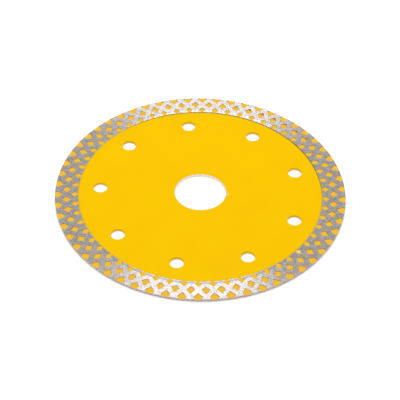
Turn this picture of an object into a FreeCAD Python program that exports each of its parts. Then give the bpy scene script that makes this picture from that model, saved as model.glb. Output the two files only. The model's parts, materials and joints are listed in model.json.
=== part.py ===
import FreeCAD, Part
import math
import os

# Thin diamond cutting disc with a mesh rim, for an angle grinder.
# A flat round core of painted steel sheet holds the arbor bore and a ring of cooling holes.
# A ring of metal and diamond grit is pressed and sintered onto the edge of the core.
# Both faces of that rim carry two families of straight raised ribs, which cross in a lattice.
# The pockets between the ribs carry air and dust. The outer ones open at the cutting edge.
#
# The origin is the middle of the bore, at half the thickness, and +Z is the disc's axis.
# Sizes are in millimetres and angles in degrees.

# Disc and rim
DISC_DIAMETER = 125.0
RIM_HEIGHT = 10.0
RIM_THICKNESS = 1.4

# Core, with its bore and cooling holes
CORE_THICKNESS = 1.0
BORE_DIAMETER = 22.23
HOLE_COUNT = 9
HOLE_DIAMETER = 6.0
HOLE_INSET = 9.3        # from the core's edge in to the centre of a hole
FIRST_HOLE_ANGLE = -90.0

# Ribs and pockets of the rim
RIBS_EACH_WAY = 58
RIB_WIDTH = 2.0         # at the ground top of a rib
CROSSING_INSET = 5.1    # from the cutting edge in to the middle ring of crossings
RIB_LEAN = 40.4         # between a rib and the radius, at those crossings
LATTICE_ANGLE = -90.28  # of one of those crossings, on the upper face
POCKET_ROWS = (-1, 0, 1)  # inner, middle and outer row, in half steps of the lattice
POCKET_DEPTH = 0.25
POCKET_DRAFT = 20.0     # lean of a pocket's walls from upright
NECK_WIDTH = 0.5        # of the slit that opens an inner pocket towards the core

# Places that follow from the sizes above
disc_radius = DISC_DIAMETER / 2
core_radius = disc_radius - RIM_HEIGHT
hole_circle_radius = core_radius - HOLE_INSET
half_rim = RIM_THICKNESS / 2
lattice_step = 360.0 / RIBS_EACH_WAY
middle_radius = disc_radius - CROSSING_INSET
rib_offset = middle_radius * math.sin(math.radians(RIB_LEAN))
draft_slope = math.tan(math.radians(POCKET_DRAFT))
overshoot = RIM_THICKNESS / 2   # how far a cutting tool stands out of the face that it cuts

Z_AXIS = FreeCAD.Vector(0, 0, 1)
ORIGIN = FreeCAD.Vector(0, 0, 0)


def disc(radius, thickness):
    """A round plate about the origin, half above and half below."""
    return Part.makeCylinder(radius, thickness, FreeCAD.Vector(0, 0, -thickness / 2))


def turned(shape, angle):
    """A copy of a shape, turned about the disc's axis."""
    copy = shape.copy()
    copy.rotate(ORIGIN, Z_AXIS, angle)
    return copy


def cooling_hole():
    """The tool for the hole that lies on the +X axis."""
    tool = disc(HOLE_DIAMETER / 2, CORE_THICKNESS + 2 * overshoot)
    tool.translate(FreeCAD.Vector(hole_circle_radius, 0, 0))
    return tool


def steel_core():
    """The flat core, bored for the arbor and punched with its cooling holes."""
    core = disc(core_radius, CORE_THICKNESS)
    core = core.cut(disc(BORE_DIAMETER / 2, CORE_THICKNESS + 2 * overshoot))
    hole = cooling_hole()
    hole_step = 360.0 / HOLE_COUNT
    holes = [turned(hole, FIRST_HOLE_ANGLE + i * hole_step) for i in range(HOLE_COUNT)]
    return core.cut(holes)


def crossing_angle(row):
    """Angle from the foot of a rib to a crossing, counted in half steps from the middle ring."""
    at_middle = math.acos(rib_offset / middle_radius)
    return at_middle + math.radians(row * lattice_step / 2)


def rhombus(row, half_rib, z):
    """Corners of a pocket of this row on the +X axis, with its ribs half_rib wide each side."""
    near = crossing_angle(row - 1)
    far = crossing_angle(row + 1)
    inner_line = rib_offset + half_rib
    outer_line = rib_offset - half_rib
    side_x = (inner_line * math.sin(far) + outer_line * math.sin(near)) / math.sin(near + far)
    side_y = (outer_line * math.cos(near) - inner_line * math.cos(far)) / math.sin(near + far)
    return [
        FreeCAD.Vector(inner_line / math.cos(near), 0, z),
        FreeCAD.Vector(side_x, -side_y, z),
        FreeCAD.Vector(outer_line / math.cos(far), 0, z),
        FreeCAD.Vector(side_x, side_y, z),
    ]


def flat_face(corners):
    """A flat face through its corners."""
    return Part.Face(Part.makePolygon(corners + corners[:1]))


def pocket(row):
    """The tool for one pocket on the +X axis of the upper face, with drafted walls."""
    floor = rhombus(row, RIB_WIDTH / 2 + POCKET_DEPTH * draft_slope, half_rim - POCKET_DEPTH)
    mouth = rhombus(row, RIB_WIDTH / 2 - overshoot * draft_slope, half_rim + overshoot)
    faces = [flat_face(floor), flat_face(mouth)]
    for i in range(len(floor)):
        j = (i + 1) % len(floor)
        faces.append(flat_face([floor[i], floor[j], mouth[j], mouth[i]]))
    return Part.makeSolid(Part.makeShell(faces))


def neck():
    """The tool for the slit from the innermost pocket to the core."""
    start = core_radius - NECK_WIDTH
    floor_z = half_rim - POCKET_DEPTH
    pocket_tip = rhombus(min(POCKET_ROWS), RIB_WIDTH / 2 + POCKET_DEPTH * draft_slope, floor_z)[0].x
    length = max(pocket_tip, core_radius) + NECK_WIDTH - start
    corner = FreeCAD.Vector(start, -NECK_WIDTH / 2, floor_z)
    return Part.makeBox(length, NECK_WIDTH, POCKET_DEPTH + overshoot, corner)


def pocket_tools():
    """Every pocket of the upper face: the rows lie half a lattice step apart in turn."""
    tools = []
    for row in POCKET_ROWS:
        tool = pocket(row)
        if row == min(POCKET_ROWS):
            tool = tool.fuse(neck()).removeSplitter()
        shift = 0.0 if row % 2 else lattice_step / 2
        for i in range(RIBS_EACH_WAY):
            tools.append(turned(tool, LATTICE_ANGLE + shift + i * lattice_step))
    return tools


def diamond_rim():
    """The sintered ring, with a lattice of pockets pressed into each face."""
    ring = disc(disc_radius, RIM_THICKNESS).cut(disc(core_radius, RIM_THICKNESS))
    upper = pocket_tools()
    # The two faces are staggered by half a step, so that no pocket backs onto another.
    lower = [turned(tool.mirror(ORIGIN, Z_AXIS), lattice_step / 2) for tool in upper]
    return ring.cut(upper + lower)


os.makedirs("parts", exist_ok=True)
for name, make in (("steel_core", steel_core), ("diamond_rim", diamond_rim)):
    solid = make()
    solid.exportStep("parts/" + name + ".step")
    print(name, "solids", len(solid.Solids), "valid", solid.isValid(), "volume", round(solid.Volume, 2))
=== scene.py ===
import json
import math

import bpy
from mathutils import Matrix, Vector, noise
from mathutils.geometry import delaunay_2d_cdt


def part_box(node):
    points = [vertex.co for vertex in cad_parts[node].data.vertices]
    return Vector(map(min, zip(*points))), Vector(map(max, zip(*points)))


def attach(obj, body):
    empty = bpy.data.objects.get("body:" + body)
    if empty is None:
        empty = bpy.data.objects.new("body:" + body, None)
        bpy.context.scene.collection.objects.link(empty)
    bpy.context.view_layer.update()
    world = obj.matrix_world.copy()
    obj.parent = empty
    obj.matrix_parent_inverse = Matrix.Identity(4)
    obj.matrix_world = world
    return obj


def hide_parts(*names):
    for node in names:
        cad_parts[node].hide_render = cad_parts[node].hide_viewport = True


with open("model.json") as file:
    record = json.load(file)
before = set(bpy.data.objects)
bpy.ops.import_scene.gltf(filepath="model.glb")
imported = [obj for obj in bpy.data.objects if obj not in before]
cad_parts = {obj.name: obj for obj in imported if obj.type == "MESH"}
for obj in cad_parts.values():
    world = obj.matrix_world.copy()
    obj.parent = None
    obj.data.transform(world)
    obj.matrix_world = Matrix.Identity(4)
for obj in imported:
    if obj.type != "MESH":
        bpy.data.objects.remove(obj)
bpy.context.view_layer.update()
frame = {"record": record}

# The looks of a thin diamond cutting disc with a mesh rim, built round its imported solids.
# Lengths are in metres unless a comment says otherwise. Named angles and the materials' angles
# are in degrees, and those in the functions that build the meshes are in radians.
MM = 0.001

# Sizes that the frame gives
record = frame["record"]
core_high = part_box("steel_core")[1]
rim_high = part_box("diamond_rim")[1]
DISC_RADIUS = rim_high.x
HALF_RIM = rim_high.z
CORE_RADIUS = core_high.x
HALF_CORE = core_high.z
BORE_RADIUS = next(m for m in record["mounts"] if m["name"] == "bore")["dims"]["r_mm"] * MM
HOLE_CENTRES = [
    (Vector(o["box_m"][0]) + Vector(o["box_m"][1])).xy / 2 for o in record["physics"]["openings"]
]

# Sizes of the holes and of the rim's lattice, as in the solids
HOLE_RADIUS = 3.0 * MM
RIBS_EACH_WAY = 58
RIB_WIDTH = 2.0 * MM
RIB_LEAN = 40.4
LATTICE_ANGLE = -90.28
CROSSING_INSET = 5.1 * MM
POCKET_DEPTH = 0.25 * MM
NECK_WIDTH = 0.5 * MM
STEP = math.radians(360 / RIBS_EACH_WAY)   # from one rib to the next, in radians
MIDDLE_RADIUS = DISC_RADIUS - CROSSING_INSET
RIB_OFFSET = MIDDLE_RADIUS * math.sin(math.radians(RIB_LEAN))   # from the axis to a rib's line

# Fine form that the solids leave out
CORNER_ROUND = 0.34 * MM
LEAST_ROUND = 0.12 * MM
ROUND_SHARE = 0.4   # the most of a side that a rounded corner takes
EDGE_ROUND = 0.12 * MM
PAINT_THICKNESS = 0.06 * MM   # on a pocket's floor, where it lies thick
FLOOR_DROP = POCKET_DEPTH - PAINT_THICKNESS
# How far a pocket's wall has dropped, at each distance in from the rib's edge
WALL_PROFILE = (
    (-0.015 * MM, 0.0),
    (0.02 * MM, 0.05 * MM),
    (0.07 * MM, 0.14 * MM),
    (0.12 * MM, 0.175 * MM),
    (0.22 * MM, FLOOR_DROP),
)
WALL_TOP = WALL_PROFILE[0][0]
WALL_FOOT = WALL_PROFILE[-1][0]
# How far the rim's face has dropped beside the core, at each distance from it: a ledge and a slope
INNER_BORDER = (
    (0.0, 0.165 * MM),
    (0.45 * MM, 0.16 * MM),
    (0.8 * MM, 0.11 * MM),
    (1.25 * MM, 0.035 * MM),
    (1.55 * MM, 0.0),
)

# The rim's mesh: spacings of its points, and the narrowest neck that is drawn as an open slit
POINT_SPACING = 0.42 * MM
TOP_SPACING = 0.6 * MM
LEAST_SPACING = 0.16 * MM
LEAST_HALF_NECK = 0.08 * MM
ROUND_STEPS = 4
# Two points in one square of a grid are one point
CELL_GRID = 0.002 * MM
SOLID_GRID = 0.001 * MM
# How near a point is to a circle, or in radians to a line from the axis, when it lies on it
ON_CIRCLE = 1e-8
ON_RADIAL_LINE = 1e-7
# What delaunay_2d_cdt is asked for, and the distance within which it joins points
FILLED_TRIANGLES = 1
WELD = 1e-9
SHARP_ANGLE = 50


def crossing_angle(half_steps):
    """Angle from a rib's foot to a crossing, counted in half steps from the middle ring."""
    return math.acos(RIB_OFFSET / MIDDLE_RADIUS) + half_steps * STEP / 2


def rhombus(row, inset):
    """Corners of a pocket of this row about the +X axis, drawn inset from its ribs' edges."""
    near = crossing_angle(row - 1)
    far = crossing_angle(row + 1)
    inner = RIB_OFFSET + RIB_WIDTH / 2 + inset
    outer = RIB_OFFSET - RIB_WIDTH / 2 - inset
    side_x = (inner * math.sin(far) + outer * math.sin(near)) / math.sin(near + far)
    side_y = (outer * math.cos(near) - inner * math.cos(far)) / math.sin(near + far)
    return [
        Vector((inner / math.cos(near), 0)),
        Vector((side_x, -side_y)),
        Vector((outer / math.cos(far), 0)),
        Vector((side_x, side_y)),
    ]


def divided(start, end, spacing):
    """Points from start up to, but not including, end."""
    count = max(1, round((end - start).length / spacing))
    return [start.lerp(end, i / count) for i in range(count)]


def rounded_outline(corners, inset):
    """A closed outline with rounded corners. It starts at the middle of the first corner."""
    points = []
    full_reach = max(CORNER_ROUND - inset, LEAST_ROUND)
    for i, corner in enumerate(corners):
        following = corners[(i + 1) % len(corners)]
        before = corners[i - 1] - corner
        after = following - corner
        reach_next = min(full_reach, ROUND_SHARE * after.length)
        reach = min(reach_next, ROUND_SHARE * before.length)
        start = corner + before.normalized() * reach
        end = corner + after.normalized() * reach
        for j in range(ROUND_STEPS + 1):
            t = j / ROUND_STEPS
            points.append(start * (1 - t) ** 2 + corner * 2 * t * (1 - t) + end * t ** 2)
        side_end = following - after.normalized() * reach_next
        points += divided(end, side_end, POINT_SPACING)[1:]
    half = ROUND_STEPS // 2
    return points[half:] + points[:half]


def circle_hit(a, b, radius):
    """The point where the line from a to b meets a circle about the origin."""
    low, high = 0.0, 1.0
    halvings = 40
    rising = b.length > a.length
    for _ in range(halvings):
        mid = (low + high) / 2
        if (a.lerp(b, mid).length > radius) == rising:
            high = mid
        else:
            low = mid
    hit = a.lerp(b, high)
    return hit * (radius / hit.length)


def clipped(outline, radius):
    """The open stretch of a closed outline that lies inside a circle."""
    inside = [p.length < radius for p in outline]
    count = len(outline)
    first = next(i for i in range(count) if inside[i] and not inside[i - 1])
    run = [circle_hit(outline[first - 1], outline[first], radius)]
    i = first
    while inside[i % count]:
        run.append(outline[i % count])
        i += 1
    run.append(circle_hit(outline[i % count], outline[(i - 1) % count], radius))
    return run


def with_neck(outline, half_width):
    """An inner pocket's outline, opened at its inner tip by a slit that runs to the core."""
    lead, least_slit = 0.1 * MM, 0.08 * MM
    kept = [p for p in outline if abs(p.y) > half_width or p.x > MIDDLE_RADIUS - RIB_WIDTH]
    first = max(range(len(kept)), key=lambda i: (kept[i - 1] - kept[i]).length)
    run = kept[first:] + kept[:first]
    if run[0].y > 0:
        run.reverse()
    start_x = math.sqrt(CORE_RADIUS ** 2 - half_width ** 2)
    bend_x = max(run[0].x - lead, start_x + least_slit)
    way_in = [Vector((start_x, -half_width)), Vector((bend_x, -half_width))]
    way_out = [Vector((bend_x, half_width)), Vector((start_x, half_width))]
    return way_in + run + way_out


def turned(point, angle):
    """A flat point turned about the disc's axis by an angle in radians."""
    c, s = math.cos(angle), math.sin(angle)
    return Vector((point.x * c - point.y * s, point.x * s + point.y * c))


def pocket_inset(point):
    """How far inside a pocket a point of the cell lies: it is below zero on a rib."""
    radius = point.length
    angle = math.atan2(point.y, point.x)
    # Beside the core, all is metal between one neck and the next.
    if radius < CORE_RADIUS + RIB_WIDTH / 2 and abs(angle) > STEP / 4:
        return -RIB_WIDTH / 2
    lean = math.acos(RIB_OFFSET / radius)
    foot = crossing_angle(0)
    from_ribs = []
    for side in (1, -1):
        steps_off = (angle - side * (lean - foot)) / STEP
        off = (steps_off - round(steps_off)) * STEP
        from_ribs.append(abs(radius * math.cos(lean + side * off) - RIB_OFFSET))
    return min(from_ribs) - RIB_WIDTH / 2


def drop_at(profile, distance):
    """The drop that a profile gives at a distance."""
    if distance <= profile[0][0]:
        return profile[0][1]
    for (a, drop_a), (b, drop_b) in zip(profile, profile[1:]):
        if distance <= b:
            return drop_a + (drop_b - drop_a) * (distance - a) / (b - a)
    return profile[-1][1]


def edge_drop(radius):
    """The small rounding along the cutting edge."""
    into = max(0.0, EDGE_ROUND - max(DISC_RADIUS - radius, 0.0))
    return EDGE_ROUND - math.sqrt(EDGE_ROUND ** 2 - into ** 2)


class Cell:
    """The flat plan of one step of the lattice, with the drop of each point."""

    def __init__(self):
        self.points = []
        self.drops = []
        self.edges = []
        self.known = {}

    def add(self, point, drop):
        """The number of the point at this place, which is a new one or one that is there."""
        key = (round(point.x / CELL_GRID), round(point.y / CELL_GRID))
        if key not in self.known:
            self.known[key] = len(self.points)
            self.points.append(point)
            self.drops.append(drop)
        return self.known[key]

    def line(self, points, drop):
        """Adds points and the edges from each to the next."""
        ids = [self.add(p, drop) for p in points]
        self.edges += [(a, b) for a, b in zip(ids, ids[1:]) if a != b]


def contours(cell):
    """Adds the outlines of every pocket in the cell at each level of its wall."""
    for inset, drop in WALL_PROFILE:
        outer = clipped(rounded_outline(rhombus(1, inset), inset), DISC_RADIUS)
        cell.line(outer, drop)
        inner = rounded_outline(rhombus(-1, inset), inset)
        half_neck = NECK_WIDTH / 2 - inset
        if half_neck > LEAST_HALF_NECK:
            cell.line(with_neck(inner, half_neck), drop)
        else:
            cell.line(inner + inner[:1], drop)
        # The cell has one half of a middle pocket at each of its straight sides.
        middle = rounded_outline(rhombus(0, inset), inset)
        far = max(range(len(middle)), key=lambda i: middle[i].x)
        below = middle[:far + 1]
        above = [Vector((p.x, -p.y)) for p in below]
        cell.line([turned(p, STEP / 2) for p in below], drop)
        cell.line([turned(p, -STEP / 2) for p in above], drop)


def boundary(cell):
    """Adds the cell's four sides, through the outlines' ends that lie on them."""
    sides = (
        lambda p: abs(p.length - DISC_RADIUS) < ON_CIRCLE,
        lambda p: abs(p.length - CORE_RADIUS) < ON_CIRCLE,
        lambda p: abs(math.atan2(p.y, p.x) - STEP / 2) < ON_RADIAL_LINE,
        lambda p: abs(math.atan2(p.y, p.x) + STEP / 2) < ON_RADIAL_LINE,
    )
    arc_count, side_count = 14, 18
    fresh = [[], [], [], []]
    for i in range(arc_count + 1):
        angle = (i / arc_count - 0.5) * STEP
        fresh[0].append(turned(Vector((DISC_RADIUS, 0)), angle))
        fresh[1].append(turned(Vector((CORE_RADIUS, 0)), angle))
    for i in range(side_count + 1):
        radius = CORE_RADIUS + (DISC_RADIUS - CORE_RADIUS) * i / side_count
        fresh[2].append(turned(Vector((radius, 0)), STEP / 2))
        fresh[3].append(turned(Vector((radius, 0)), -STEP / 2))
    for side_points, on_side in zip(fresh, sides):
        placed = [p for p in cell.points if on_side(p)]
        for p in side_points:
            corner = p is side_points[0] or p is side_points[-1]
            if corner or all((p - q).length > LEAST_SPACING for q in placed):
                cell.add(p, drop_at(WALL_PROFILE, pocket_inset(p)))
    for k, on_side in enumerate(sides):
        along = (lambda p: math.atan2(p.y, p.x)) if k < 2 else (lambda p: p.length)
        ids = [i for i, p in enumerate(cell.points) if on_side(p)]
        ids.sort(key=lambda i: along(cell.points[i]))
        cell.edges += list(zip(ids, ids[1:]))


def fill(cell):
    """Adds loose points on the rib tops, on the pockets' floors and just inside the edges."""
    clear_of_side, clear_of_wall, clear_on_arc = 0.2 * MM, 0.15 * MM, 0.05 * MM
    rows = int((DISC_RADIUS - CORE_RADIUS) / TOP_SPACING)
    for i in range(1, rows):
        radius = CORE_RADIUS + (DISC_RADIUS - CORE_RADIUS) * i / rows
        count = round(radius * STEP / TOP_SPACING)
        for j in range(count):
            angle = ((j + (0.5 if i % 2 else 0.0)) / count - 0.5) * STEP
            if abs(angle) > STEP / 2 - clear_of_side / radius:
                continue
            p = turned(Vector((radius, 0)), angle)
            inset = pocket_inset(p)
            if inset < WALL_TOP - clear_of_wall:
                cell.add(p, 0.0)
            elif inset > WALL_FOOT + clear_of_wall:
                cell.add(p, FLOOR_DROP)
    arc_count = 20
    arcs = [DISC_RADIUS - EDGE_ROUND] + [CORE_RADIUS + distance for distance, _ in INNER_BORDER[1:]]
    for radius in arcs:
        for j in range(1, arc_count):
            p = turned(Vector((radius, 0)), (j / arc_count - 0.5) * STEP)
            if pocket_inset(p) < WALL_TOP - clear_on_arc:
                cell.add(p, 0.0)


def lattice_cell():
    """Points (x, y, whole drop, pocket's share of it) of one step of the lattice, and triangles."""
    cell = Cell()
    contours(cell)
    boundary(cell)
    fill(cell)
    flat, _, triangles, origins, _, _ = delaunay_2d_cdt(
        cell.points, cell.edges, [], FILLED_TRIANGLES, WELD
    )
    points = []
    for p, source in zip(flat, origins):
        drop = cell.drops[source[0]] if source else drop_at(WALL_PROFILE, pocket_inset(p))
        border = drop_at(INNER_BORDER, p.length - CORE_RADIUS)
        points.append((p.x, p.y, max(drop, border) + edge_drop(p.length), drop))
    return points, triangles


def sharpen_seams(mesh):
    """Marks the edges between two materials as sharp, so that the rib tops are shaded flat."""
    first, seams = {}, set()
    for face in mesh.polygons:
        for key in face.edge_keys:
            if first.setdefault(key, face.material_index) != face.material_index:
                seams.add(key)
    for edge in mesh.edges:
        if edge.key in seams:
            edge.use_edge_sharp = True


def mesh_piece(name, points, faces, slots, materials, node):
    """A smooth shaded mesh object that rides on the disc and stands for a CAD node."""
    mesh = bpy.data.meshes.new(name)
    mesh.from_pydata(points, [], faces)
    for material in materials:
        mesh.materials.append(material)
    mesh.polygons.foreach_set("material_index", slots)
    mesh.polygons.foreach_set("use_smooth", [True] * len(faces))
    mesh.validate()
    mesh.set_sharp_from_angle(angle=math.radians(SHARP_ANGLE))
    sharpen_seams(mesh)
    piece = bpy.data.objects.new(name, mesh)
    bpy.context.scene.collection.objects.link(piece)
    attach(piece, "root")
    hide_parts(node)


class Solid:
    """Points and faces that grow sheet by sheet, with points that coincide shared."""

    def __init__(self):
        self.points = []
        self.faces = []
        self.slots = []
        self.known = {}

    def add(self, x, y, z):
        """The number of the point at this place, which is a new one or one that is there."""
        key = (round(x / SOLID_GRID), round(y / SOLID_GRID), round(z / SOLID_GRID))
        if key not in self.known:
            self.known[key] = len(self.points)
            self.points.append((x, y, z))
        return self.known[key]

    def face(self, ids, slot):
        """Adds a triangle, unless two of its corners are one point."""
        if len(set(ids)) == 3:
            self.faces.append(tuple(ids))
            self.slots.append(slot)

    def loop_at(self, radius, upper):
        """Points of the upper or the lower sheet that lie on a circle, in order round it."""
        found = []
        for i, (x, y, z) in enumerate(self.points):
            if abs(math.hypot(x, y) - radius) < ON_CIRCLE and (z > 0) == upper:
                found.append((math.atan2(y, x), i))
        return sorted(found)

    def ring(self, radius, z, count, middle=(0.0, 0.0), phase=0.0):
        """A ring of points, in order round it. Its phase is a share of the gap between two."""
        made = []
        for j in range(count):
            angle = -math.pi + (j + phase) * 2 * math.pi / count
            x = middle[0] + radius * math.cos(angle)
            y = middle[1] + radius * math.sin(angle)
            made.append((angle, self.add(x, y, z)))
        return made

    def band(self, high, low, slot, outward):
        """Triangles between two rings, the higher and the lower, each sorted by angle."""
        i = j = 0
        n, m = len(high), len(low)
        turn = 2 * math.pi
        while i < n or j < m:
            next_high = high[(i + 1) % n][0] + turn * ((i + 1) // n)
            next_low = low[(j + 1) % m][0] + turn * ((j + 1) // m)
            a, b = high[i % n][1], low[j % m][1]
            if j >= m or (i < n and next_high <= next_low):
                ids = [a, b, high[(i + 1) % n][1]]
                i += 1
            else:
                ids = [a, b, low[(j + 1) % m][1]]
                j += 1
            self.face(ids if outward else ids[::-1], slot)


# Which material a face of the rim takes
GROUND, PAINTED, SIDE = 0, 1, 2
# A face is ground metal if its pocket's drop is less than this
GROUND_DROP = 0.03 * MM
# Beyond this radius it belongs to the cutting edge
SIDE_RADIUS = DISC_RADIUS - 1.2 * EDGE_ROUND
# Points round the middle of the rim's two walls, for each rib
WALL_POINTS = 12


def rim_solid():
    """The whole rim: both latticed faces, the cutting edge and the wall that meets the core."""
    cell_points, triangles = lattice_cell()
    solid = Solid()
    for upper in (True, False):
        start = math.radians(LATTICE_ANGLE) + (0.0 if upper else STEP / 2)
        for k in range(RIBS_EACH_WAY):
            c, s = math.cos(start + k * STEP), math.sin(start + k * STEP)
            ids = []
            for x, y, drop, _ in cell_points:
                z = HALF_RIM - drop
                ids.append(solid.add(x * c - y * s, x * s + y * c, z if upper else -z))
            for triangle in triangles:
                slot = PAINTED
                if max(cell_points[i][3] for i in triangle) < GROUND_DROP:
                    slot = GROUND
                if min(math.hypot(*cell_points[i][:2]) for i in triangle) > SIDE_RADIUS:
                    slot = SIDE
                corners = [ids[i] for i in triangle]
                solid.face(corners if upper else corners[::-1], slot)
    ring_height = 0.5 * (HALF_RIM - FLOOR_DROP)
    count = RIBS_EACH_WAY * WALL_POINTS
    # Each wall has two rings of its own, half way from the middle to the pockets' floors.
    for radius, slot, outward in ((DISC_RADIUS, SIDE, True), (CORE_RADIUS, PAINTED, False)):
        upper = solid.loop_at(radius, True)
        lower = solid.loop_at(radius, False)
        high = solid.ring(radius, ring_height, count)
        low = solid.ring(radius, -ring_height, count, phase=0.5)
        solid.band(upper, high, slot, outward)
        solid.band(high, low, slot, outward)
        solid.band(low, lower, slot, outward)
    return solid


# Wear of the rim, in coarse and in fine waves: their sizes, and their reach in millimetres
COARSE_WAVE, COARSE_REACH = 2.3 * MM, 0.07
FINE_WAVE, FINE_REACH = 0.55 * MM, 0.045
FINE_ORIGIN = Vector((7, 3, 1))
# Points this near the rim's two edges stay, and over the next stretch the wear grows to its full
UNWORN = 0.05 * MM
WEAR_RISE = 0.5 * MM
# A point further below the faces than this is on a pocket's wall or floor, or on the edge's side
POCKET_START = 0.12 * MM
SIDE_START = 0.1 * MM
# Shares of the shift that act along the disc's axis, and into the cutting edge
TOP_LIFT, POCKET_LIFT, EDGE_CUT = 0.12, 0.3, 0.5
# The noise would start from the clock. With a seed it is the same in each run.
WEAR_SEED = 7
noise.seed_set(WEAR_SEED)


def worn(point):
    """A point of the rim moved a little, so that no two ribs are quite alike."""
    p = Vector(point)
    radius = math.hypot(p.x, p.y)
    from_edge = min(DISC_RADIUS - radius, radius - CORE_RADIUS)
    hold = max(0.0, min(1.0, (from_edge - UNWORN) / WEAR_RISE))
    coarse = noise.noise_vector(p / COARSE_WAVE) * COARSE_REACH * MM
    fine = noise.noise_vector(p / FINE_WAVE + FINE_ORIGIN) * FINE_REACH * MM
    shift = coarse + fine
    below = HALF_RIM - abs(p.z)
    if hold == 0.0:
        on_side = from_edge < ON_CIRCLE and below > SIDE_START
        inward = -abs(fine.x) * EDGE_CUT / radius if on_side else 0.0
        return (p.x * (1 + inward), p.y * (1 + inward), p.z)
    lift = shift.z * POCKET_LIFT if below > POCKET_START else -abs(shift.z) * TOP_LIFT
    sign = 1 if p.z > 0 else -1
    return (p.x + shift.x * hold, p.y + shift.y * hold, p.z + sign * lift * hold)


# Rounded edges of the core: (distance from the edge, drop) for the bore and for the punched holes
BORE_EDGE = ((0.0, 0.05 * MM), (0.025 * MM, 0.015 * MM), (0.08 * MM, 0.0))
HOLE_EDGE = ((0.0, 0.06 * MM), (0.035 * MM, 0.022 * MM), (0.1 * MM, 0.005 * MM), (0.2 * MM, 0.0))
# Paint gathered in the corner beside the rim: (distance from the rim, rise)
PAINT_FILLET = ((0.0, 0.035 * MM), (0.04 * MM, 0.015 * MM), (0.12 * MM, 0.0))
# Points round the core's edge, round the bore and round each hole
CORE_POINTS, BORE_POINTS, HOLE_POINTS = 360, 180, 60
# Loose points on the flat: gaps between their rings, their spacing, and their distance from a hole
FLAT_GAPS = 9
FLAT_SPACING = 4.6 * MM
CLEAR_OF_HOLE = 0.5 * MM
# A triangle is left out if its middle lies further inside a hole or the bore than this
INSIDE_HOLE = 1e-6
# Rings down a wall, as shares of its half height
WALL_LEVELS = (1, 0.4, -0.4, -1)
# Which material a face of the core takes
WALL, BARE = 0, 1


def core_solid():
    """The painted sheet, with the rounded edges of its bore and of its punched holes."""
    solid = Solid()
    flat, edges, lifts = [], [], []

    def circle(middle, radius, count, lift):
        first = len(flat)
        for j in range(count):
            angle = -math.pi + j * 2 * math.pi / count
            flat.append(Vector(middle) + turned(Vector((radius, 0)), angle))
            lifts.append(lift)
            edges.append((first + j, first + (j + 1) % count))

    for inward, rise in PAINT_FILLET:
        circle((0, 0), CORE_RADIUS - inward, CORE_POINTS, rise)
    for outward, drop in BORE_EDGE:
        circle((0, 0), BORE_RADIUS + outward, BORE_POINTS, -drop)
    for centre in HOLE_CENTRES:
        for outward, drop in HOLE_EDGE:
            circle(centre, HOLE_RADIUS + outward, HOLE_POINTS, -drop)
    for i in range(1, FLAT_GAPS):
        radius = BORE_RADIUS + (CORE_RADIUS - BORE_RADIUS) * i / FLAT_GAPS
        count = round(2 * math.pi * radius / FLAT_SPACING)
        for j in range(count):
            p = turned(Vector((radius, 0)), (j + 0.5 * (i % 2)) * 2 * math.pi / count)
            if all((p - c).length > HOLE_RADIUS + CLEAR_OF_HOLE for c in HOLE_CENTRES):
                flat.append(p)
                lifts.append(0.0)
    placed, _, triangles, origins, _, _ = delaunay_2d_cdt(flat, edges, [], FILLED_TRIANGLES, WELD)

    def open_space(p):
        in_bore = p.length < BORE_RADIUS - INSIDE_HOLE
        return in_bore or any((p - c).length < HOLE_RADIUS - INSIDE_HOLE for c in HOLE_CENTRES)

    for upper in (True, False):
        ids = []
        for p, source in zip(placed, origins):
            z = HALF_CORE + lifts[source[0]]
            ids.append(solid.add(p.x, p.y, z if upper else -z))
        for a, b, c in triangles:
            if open_space((placed[a] + placed[b] + placed[c]) / 3):
                continue
            corners = [ids[a], ids[b], ids[c]]
            solid.face(corners if upper else corners[::-1], WALL)
    walls = [
        ((0, 0), CORE_RADIUS, CORE_POINTS, PAINT_FILLET[0][1], WALL, True),
        ((0, 0), BORE_RADIUS, BORE_POINTS, -BORE_EDGE[0][1], BARE, False),
    ]
    walls += [
        (centre, HOLE_RADIUS, HOLE_POINTS, -HOLE_EDGE[0][1], WALL, False) for centre in HOLE_CENTRES
    ]
    for middle, radius, count, lift, slot, outward in walls:
        z = HALF_CORE + lift
        rings = [solid.ring(radius, level * z, count, middle) for level in WALL_LEVELS]
        for high, low in zip(rings, rings[1:]):
            solid.band(high, low, slot, outward)
    return solid


def linear(red, green, blue):
    """A colour given in the 0 to 255 steps of a screen, as the shader's linear values."""
    def channel(value):
        v = value / 255
        return v / 12.92 if v <= 0.04045 else ((v + 0.055) / 1.055) ** 2.4
    return (channel(red), channel(green), channel(blue), 1.0)


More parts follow.
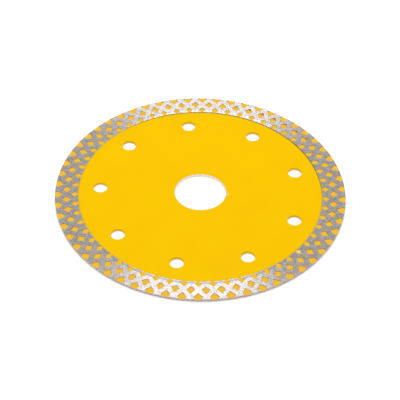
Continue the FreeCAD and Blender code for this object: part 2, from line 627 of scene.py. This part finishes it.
class Shader:
    """A material and short calls that add nodes to it."""

    def __init__(self, name):
        self.material = bpy.data.materials.new(name)
        self.material.use_nodes = True
        self.tree = self.material.node_tree
        self.surface = self.tree.nodes["Principled BSDF"]
        self.place = self.node("ShaderNodeTexCoord").outputs["Object"]
        split = self.node("ShaderNodeSeparateXYZ", {"Vector": self.place}).outputs
        self.x, self.y, self.z = split["X"], split["Y"], split["Z"]
        squares = [self.math("MULTIPLY", side, side) for side in (self.x, self.y)]
        self.radius = self.math("SQRT", self.math("ADD", *squares))

    def node(self, kind, values=None, **settings):
        """A new node, with its settings and with values or links for its sockets."""
        made = self.tree.nodes.new(kind)
        for key, value in settings.items():
            setattr(made, key, value)
        for socket, value in (values or {}).items():
            self.put(made.inputs[socket], value)
        return made

    def put(self, socket, value):
        """Links an input to another node's output, or sets its value."""
        if isinstance(value, bpy.types.NodeSocket):
            self.tree.links.new(value, socket)
        else:
            socket.default_value = value

    def set(self, **values):
        """Sets or links sockets of the surface; an underscore stands for a space."""
        for name, value in values.items():
            self.put(self.surface.inputs[name.replace("_", " ")], value)

    def math(self, operation, a, b=0.0):
        made = self.node("ShaderNodeMath", {0: a, 1: b}, operation=operation)
        return made.outputs[0]

    def noise(self, size, detail=2.0, place=None, roughness=0.5):
        """Noise whose features are about this size, from 0 to 1."""
        values = {
            "Vector": place or self.place, "Scale": 1 / size, "Detail": detail, "Roughness": roughness,
        }
        return self.node("ShaderNodeTexNoise", values).outputs["Fac"]

    def cells(self, size):
        """The distance from the nearest of many loose points, as a share of their spacing."""
        values = {"Vector": self.place, "Scale": 1 / size}
        return self.node("ShaderNodeTexVoronoi", values).outputs["Distance"]

    def step(self, value, low, high, out_low=0.0, out_high=1.0):
        """A smooth rise from out_low at low to out_high at high."""
        values = {
            "Value": value, "From Min": low, "From Max": high, "To Min": out_low, "To Max": out_high,
        }
        made = self.node("ShaderNodeMapRange", values, interpolation_type="SMOOTHSTEP")
        return made.outputs["Result"]

    def mix(self, factor, a, b):
        """A blend of two colours. A Mix node's colour sockets are found by their numbers."""
        made = self.node("ShaderNodeMix", {"Factor": factor, 6: a, 7: b}, data_type="RGBA")
        return made.outputs[2]

    def bump(self, height, distance, strength, below=None):
        """A normal with this relief, laid over the normal below it."""
        values = {"Height": height, "Distance": distance, "Strength": strength}
        if below is not None:
            values["Normal"] = below
        return self.node("ShaderNodeBump", values).outputs["Normal"]

    def around(self, along, across):
        """A place that is stretched round the disc: along and across are the features' sizes."""
        turns = MIDDLE_RADIUS / along
        values = {
            "X": self.math("MULTIPLY", self.math("DIVIDE", self.x, self.radius), turns),
            "Y": self.math("MULTIPLY", self.math("DIVIDE", self.y, self.radius), turns),
            "Z": self.math("DIVIDE", self.radius, across),
        }
        return self.node("ShaderNodeCombineXYZ", values).outputs["Vector"]

    def drop(self):
        """Depth below the rim's faces, in millimetres."""
        depth = self.math("SUBTRACT", HALF_RIM, self.math("ABSOLUTE", self.z))
        return self.math("MULTIPLY", depth, 1 / MM)

    def ragged_radius(self, size, reach):
        """The distance from the axis, made uneven by noise of this size and reach."""
        uneven = self.math("SUBTRACT", self.noise(size, 3.0), 0.5)
        return self.math("ADD", self.radius, self.math("MULTIPLY", uneven, reach))

    def spot(self, angle, radius, size):
        """1 in a ragged spot on the upper face and 0 outside it. Radius and size are in millimetres."""
        place = turned(Vector((radius * MM, 0)), math.radians(angle)).to_tuple() + (HALF_CORE,)
        away = self.node("ShaderNodeVectorMath", {0: self.place, 1: place}, operation="DISTANCE")
        # The noise adds 0.45 of the size on average, so the spot fades from 0.6 to 1.0 of its size.
        ragged = self.math("MULTIPLY", self.noise(0.4 * MM, 3.0), size * 0.9 * MM)
        distance = self.math("ADD", away.outputs["Value"], ragged)
        return self.step(distance, size * 1.45 * MM, size * 1.05 * MM)

    def side(self, angle, low, high):
        """A smooth rise from 0 to 1 towards one side of the disc, in cosines of the angle from it."""
        towards = (math.cos(math.radians(angle)), math.sin(math.radians(angle)), 0.0)
        facing = self.node("ShaderNodeVectorMath", {0: self.place, 1: towards}, operation="DOT_PRODUCT")
        return self.step(self.math("DIVIDE", facing.outputs["Value"], self.radius), low, high)

    def painted_corner_shadow(self):
        """How dark the painted shadow of the rim's step lies in the corner beside it: darkest towards
        one side.
        """
        shade = self.math("MULTIPLY", self.side(CORNER_SHADOW_SIDE, 0.1, 0.9), 0.72)
        return self.math("ADD", shade, 0.2)

    def band(self, inner, outer, soft):
        """1 between two radii in millimetres, and 0 a little way beyond them."""
        rise = self.step(self.radius, (inner - soft) * MM, inner * MM)
        fall = self.step(self.radius, (outer + soft) * MM, outer * MM)
        return self.math("MULTIPLY", rise, fall)


# Colours of the core's paint, and of the steel where it is rubbed off
PAINT = linear(254, 202, 0)
PAINT_DEEP = linear(252, 199, 0)
PAINT_SPECK = linear(205, 150, 10)
# Painted shadow that the rim's step casts on the paint in the corner beside it
PAINTED_CORNER_SHADOW = linear(90, 56, 12)
RUBBED_STEEL = linear(206, 200, 190)
# Colours of the paint in the pockets
POCKET_PAINT = linear(246, 196, 34)
POCKET_DEEP = linear(245, 190, 54)
# Painted shade on the pockets' walls
POCKET_SHADE = linear(128, 82, 26)
POCKET_CHIP = linear(236, 228, 224)
# Colours of the ground metal
GROUND_COOL = linear(204, 202, 198)
GROUND_WARM = linear(209, 201, 201)
GROUND_MOTTLE = linear(153, 148, 146)
GROUND_RING = linear(214, 211, 206)
GROUND_GRIT = linear(148, 141, 132)
GROUND_PIT = linear(92, 84, 82)
GROUND_SPOT = linear(96, 84, 84)
# Grey strokes and painted shade on the slope beside the core
GROUND_STROKE_SHADE = linear(162, 162, 165)
# Colours of the cutting edge, of the bore's wall and of the floor
EDGE_PALE = linear(214, 203, 198)
EDGE_DARK = linear(188, 176, 171)
EDGE_GRAIN = linear(112, 98, 94)
EDGE_GRIT = linear(196, 188, 176)
BORE_PALE = linear(244, 240, 234)
BORE_SCORE = linear(214, 207, 198)
BORE_STAIN = linear(112, 96, 84)
FLOOR_WHITE = linear(228, 228, 228)

# Marks that the photograph shows: angle from +X, radius and size, the last two in millimetres
CORE_DOT = (20.7, 24.8, 0.3)
RUBBED_PLACES = ((4.5, 11.7, 0.55), (9.0, 11.8, 0.5))
CHIP_PLACE = (332.0, 53.8, 0.72)
RIB_SPOTS = ((80.0, 58.9, 0.45), (77.1, 58.7, 0.5), (73.6, 58.9, 0.45))

# The side of the disc where a mark is strongest, as an angle from +X
# Where the painted shadow in the corner beside the rim is darkest
CORNER_SHADOW_SIDE = 75
DARK_TIP_SIDE = 67
# Where the slope beside the core has its painted shade
SLOPE_SHADE_SIDE = 282
# Bands of radii that marks keep to: inner, outer and soft edge, in millimetres
DARK_TIP_BAND = (57.0, 59.5, 0.1)
SLOPE_SHADE_BAND = (53.25, 53.75, 0.35)
# Radii between which the painted shade on the walls of the inner pockets' narrow necks grows to that of
# full walls
NECK_REACH = (CORE_RADIUS + 0.8 * MM, CORE_RADIUS + 1.6 * MM)
# Radii between which the deeper colour of the middle and the outer pockets sets in
ROW_CHANGE = (55.1 * MM, 55.9 * MM)
# Radii between which the outer tips of the middle pockets get darker
TIP_REACH = (58.1 * MM, 59.0 * MM)


def core_paint():
    """Smooth yellow enamel on the core, with a faint orange peel, a few specks and small marks."""
    s = Shader("yellow_enamel")
    cloud = s.noise(16 * MM, 3.0)
    grain = s.noise(0.35 * MM, 3.0)
    colour = s.mix(s.step(cloud, 0.3, 0.7), PAINT, PAINT_DEEP)
    speck = s.math("MAXIMUM", s.step(s.cells(3.2 * MM), 0.03, 0.018), s.spot(*CORE_DOT))
    colour = s.mix(s.math("MULTIPLY", speck, 0.35), colour, PAINT_SPECK)
    # Painted shadow in the corner beside the rim, where the rim's step shades the core.
    uneven = s.ragged_radius(0.7 * MM, 0.3 * MM)
    corner = s.step(uneven, CORE_RADIUS - 0.5 * MM, CORE_RADIUS - 0.1 * MM)
    colour = s.mix(s.math("MULTIPLY", corner, s.painted_corner_shadow()), colour, PAINTED_CORNER_SHADOW)
    # Paint rubbed off at the bore, where a flange's shoulder went through.
    rubbed = s.math("MAXIMUM", *(s.spot(*place) for place in RUBBED_PLACES))
    colour = s.mix(rubbed, colour, RUBBED_STEEL)
    s.set(Base_Color=colour, Metallic=s.math("MULTIPLY", rubbed, 0.6), IOR=1.45)
    s.set(Specular_IOR_Level=0.015)
    s.set(Roughness=s.step(grain, 0.2, 0.8, 0.36, 0.5))
    s.set(Normal=s.bump(grain, 0.004 * MM, 0.6))
    return s.material


def pocket_paint():
    """The same paint on the rough floors and walls of the pockets, and on the wall at the core."""
    s = Shader("pocket_enamel")
    cloud = s.noise(1.1 * MM, 3.0)
    grain = s.noise(0.18 * MM, 4.0, roughness=0.65)
    outward = s.step(s.radius, *ROW_CHANGE, 0.0, 0.7)
    deep = s.math("ADD", outward, s.step(cloud, 0.4, 0.75, 0.0, 0.5))
    colour = s.mix(s.math("MINIMUM", deep, 1.0), POCKET_PAINT, POCKET_DEEP)
    # The outer tips of the middle pockets are darker, most of all towards one side of the disc.
    loose = s.step(s.noise(2.6 * MM), 0.4, 0.7, 0.0, 0.4)
    tip_darkening = s.math("ADD", s.side(DARK_TIP_SIDE, 0.9, 0.97), loose)
    tip_darkening = s.math("MULTIPLY", tip_darkening, s.band(*DARK_TIP_BAND))
    tip = s.step(s.ragged_radius(0.5 * MM, 2.4 * MM), *TIP_REACH)
    tip = s.math("MULTIPLY", tip, s.math("MULTIPLY", tip_darkening, 0.75))
    # Painted shade: the walls above the floors are darker, as the pockets' walls lie in shade.
    wall = s.step(s.drop(), 0.17, 0.12, 0.0, 0.85)
    wall = s.math("MULTIPLY", wall, s.step(s.radius, *NECK_REACH, 0.3))
    colour = s.mix(s.math("MAXIMUM", tip, wall), colour, POCKET_SHADE)
    colour = s.mix(s.spot(*CHIP_PLACE), colour, POCKET_CHIP)
    s.set(Base_Color=colour, Metallic=0.0, IOR=1.45)
    s.set(Specular_IOR_Level=0.08)
    s.set(Roughness=s.step(grain, 0.2, 0.8, 0.42, 0.62))
    s.set(Normal=s.bump(grain, 0.02 * MM, 0.7))
    return s.material


def ground_metal():
    """Sintered metal, ground bare in rings, with diamond grit and dark pits."""
    s = Shader("ground_rim_metal")
    rings = s.noise(1.0, 3.0, s.around(7 * MM, 0.07 * MM), 0.6)
    broad = s.noise(1.0, 2.0, s.around(16 * MM, 0.5 * MM))
    tint = s.noise(1.5 * MM, 2.0)
    mottle = s.noise(1.0 * MM, 4.0, roughness=0.75)
    colour = s.mix(s.step(tint, 0.38, 0.62), GROUND_COOL, GROUND_WARM)
    colour = s.mix(s.step(mottle, 0.42, 0.62, 0.0, 0.8), colour, GROUND_MOTTLE)
    colour = s.mix(s.step(rings, 0.35, 0.75, 0.0, 0.45), colour, GROUND_RING)
    grit = s.step(s.cells(0.55 * MM), 0.24, 0.14)
    pit = s.step(s.noise(0.28 * MM, 2.0), 0.68, 0.76)
    colour = s.mix(s.math("MULTIPLY", grit, 0.45), colour, GROUND_GRIT)
    colour = s.mix(s.math("MULTIPLY", pit, 0.6), colour, GROUND_PIT)
    for place in RIB_SPOTS:
        colour = s.mix(s.math("MULTIPLY", s.spot(*place), 0.8), colour, GROUND_SPOT)
    # Grey strokes on the slope beside the core, with painted shade on the half of the disc nearest the
    # camera, where the slope tilts away from it.
    slope_shade = s.math("MULTIPLY", s.band(*SLOPE_SHADE_BAND), s.side(SLOPE_SHADE_SIDE, 0.3, 0.95))
    slope_shade = s.math("MULTIPLY", slope_shade, s.step(s.noise(0.9 * MM, 3.0), 0.3, 0.55, 0.45, 1.0))
    colour = s.mix(slope_shade, colour, GROUND_STROKE_SHADE)
    # The core's paint runs a little way over the rim, and the corner's painted shadow lies on it.
    uneven = s.ragged_radius(0.5 * MM, 0.3 * MM)
    run = s.step(uneven, CORE_RADIUS + 0.24 * MM, CORE_RADIUS + 0.06 * MM)
    colour = s.mix(run, colour, s.mix(s.painted_corner_shadow(), POCKET_PAINT, PAINTED_CORNER_SHADOW))
    covered = s.math("MAXIMUM", run, s.math("MULTIPLY", grit, 0.5))
    s.set(Base_Color=colour, Metallic=s.math("SUBTRACT", 1.0, covered))
    s.set(Roughness=s.step(broad, 0.25, 0.75, 0.33, 0.4))
    s.set(Anisotropic=1.0, Anisotropic_Rotation=0.25)
    s.set(Tangent=s.node("ShaderNodeTangent", direction_type="RADIAL", axis="Z").outputs["Tangent"])
    fine = s.bump(rings, 0.006 * MM, 0.6)
    s.set(Normal=s.bump(s.math("SUBTRACT", grit, pit), 0.012 * MM, 0.6, fine))
    return s.material


def edge_metal():
    """The cutting edge: bare sintered metal, coarser and a little pink, with open grit."""
    s = Shader("cutting_edge_metal")
    cloud = s.noise(0.9 * MM, 3.0)
    grain = s.noise(0.16 * MM, 4.0, roughness=0.7)
    colour = s.mix(s.step(cloud, 0.3, 0.7), EDGE_PALE, EDGE_DARK)
    colour = s.mix(s.step(grain, 0.55, 0.75, 0.0, 0.7), colour, EDGE_GRAIN)
    grit = s.step(s.cells(0.5 * MM), 0.26, 0.16)
    half_grit = s.math("MULTIPLY", grit, 0.5)
    colour = s.mix(half_grit, colour, EDGE_GRIT)
    s.set(Base_Color=colour, Metallic=s.math("SUBTRACT", 0.85, half_grit))
    s.set(Roughness=s.step(grain, 0.3, 0.7, 0.55, 0.7))
    s.set(Normal=s.bump(s.math("ADD", grain, grit), 0.03 * MM, 0.7))
    return s.material


def bore_metal():
    """The bore's wall: punched steel, bare and finely scored along the axis."""
    s = Shader("bore_steel")
    lengthways = s.node("ShaderNodeVectorMath", {0: s.place, 1: (1, 1, 0.12)}, operation="MULTIPLY")
    score = s.noise(0.12 * MM, 3.0, lengthways.outputs["Vector"])
    colour = s.mix(s.step(score, 0.35, 0.7), BORE_PALE, BORE_SCORE)
    colour = s.mix(s.step(s.noise(0.5 * MM, 3.0), 0.6, 0.7), colour, BORE_STAIN)
    s.set(Base_Color=colour, Metallic=1.0)
    s.set(Roughness=s.step(score, 0.3, 0.7, 0.3, 0.48))
    s.set(Normal=s.bump(score, 0.015 * MM, 0.6))
    return s.material


rim = rim_solid()
mesh_piece(
    "latticed_rim", [worn(p) for p in rim.points], rim.faces, rim.slots,
    [ground_metal(), pocket_paint(), edge_metal()], "diamond_rim",
)
core = core_solid()
mesh_piece(
    "painted_core", core.points, core.faces, core.slots,
    [core_paint(), bore_metal()], "steel_core",
)

# Camera at the photograph's viewing angle. The picture is 400 pixels wide.
PICTURE = 400
FOCAL_PIXELS = 1447.8
CAMERA_AZIMUTH = 12.28
CAMERA_ELEVATION = 44.047
CAMERA_ROLL = 0.97
CAMERA_DISTANCE = 621.0 * MM
CAMERA_TARGET = Vector((0.86, -4.47, 0)) * MM
SENSOR = 36.0   # in millimetres, as Blender counts it

# Lamp, floor and world
LAMP_PLACE = (-0.02, 0.4, 1.08)
LAMP_SIZE = (0.55, 0.3)
LAMP_WATTS = 4.0
FLOOR_HALF = 3.0
FLOOR_GLOW = 0.38   # seen by the camera and in reflections only
WORLD_STRENGTH = 0.715
WHITE = (1, 1, 1, 1)


def add_camera():
    azimuth, elevation = math.radians(CAMERA_AZIMUTH), math.radians(CAMERA_ELEVATION)
    back = Vector((
        math.sin(azimuth) * math.cos(elevation),
        -math.cos(azimuth) * math.cos(elevation),
        math.sin(elevation),
    ))
    data = bpy.data.cameras.new("camera")
    data.sensor_width = SENSOR
    data.lens = FOCAL_PIXELS / PICTURE * SENSOR
    camera = bpy.data.objects.new("camera", data)
    bpy.context.scene.collection.objects.link(camera)
    aim = back.to_track_quat("Z", "Y").to_matrix()
    right, up = aim.col[0].copy(), aim.col[1].copy()
    roll = math.radians(CAMERA_ROLL)
    turned_right = right * math.cos(roll) + up * math.sin(roll)
    turned_up = up * math.cos(roll) - right * math.sin(roll)
    for row in range(3):
        aim[row][0], aim[row][1] = turned_right[row], turned_up[row]
    camera.matrix_world = aim.to_4x4()
    camera.location = CAMERA_TARGET + back * CAMERA_DISTANCE
    bpy.context.scene.camera = camera


def add_light(name, place, size, power):
    """A soft box that points at the disc. Its place is seen from the camera: right, away and up."""
    data = bpy.data.lights.new(name, "AREA")
    data.shape = "RECTANGLE"
    data.size, data.size_y = size
    data.energy = power
    lamp = bpy.data.objects.new(name, data)
    bpy.context.scene.collection.objects.link(lamp)
    azimuth = math.radians(CAMERA_AZIMUTH)
    flat = turned(Vector(place[:2]), azimuth)
    back = Vector((flat.x, flat.y, place[2]))
    away = Vector((-math.sin(azimuth), math.cos(azimuth), 0))
    right = away.cross(back).normalized()
    up = back.cross(right).normalized()
    lamp.matrix_world = Matrix((right, up, back.normalized())).transposed().to_4x4()
    lamp.location = back


def add_floor():
    """A plain white floor that keeps the disc's shadow."""
    mesh = bpy.data.meshes.new("floor")
    signs = ((-1, -1), (1, -1), (1, 1), (-1, 1))
    corners = [(x * FLOOR_HALF, y * FLOOR_HALF, -HALF_RIM) for x, y in signs]
    mesh.from_pydata(corners, [], [(0, 1, 2, 3)])
    floor = bpy.data.objects.new("floor", mesh)
    bpy.context.scene.collection.objects.link(floor)
    s = Shader("floor_white")
    rays = s.node("ShaderNodeLightPath").outputs
    reflected = s.math("MAXIMUM", rays["Is Glossy Ray"], rays["Is Transmission Ray"])
    seen = s.math("MAXIMUM", rays["Is Camera Ray"], reflected)
    s.set(Base_Color=FLOOR_WHITE, Roughness=0.9, Emission_Color=WHITE)
    s.set(Emission_Strength=s.math("MULTIPLY", seen, FLOOR_GLOW))
    mesh.materials.append(s.material)


def add_world():
    world = bpy.data.worlds.new("studio")
    bpy.context.scene.world = world
    world.use_nodes = True
    background = world.node_tree.nodes["Background"]
    background.inputs["Color"].default_value = WHITE
    background.inputs["Strength"].default_value = WORLD_STRENGTH


add_camera()
add_floor()
add_world()
add_light("overhead", LAMP_PLACE, LAMP_SIZE, LAMP_WATTS)
bpy.context.scene.view_settings.view_transform = "Standard"
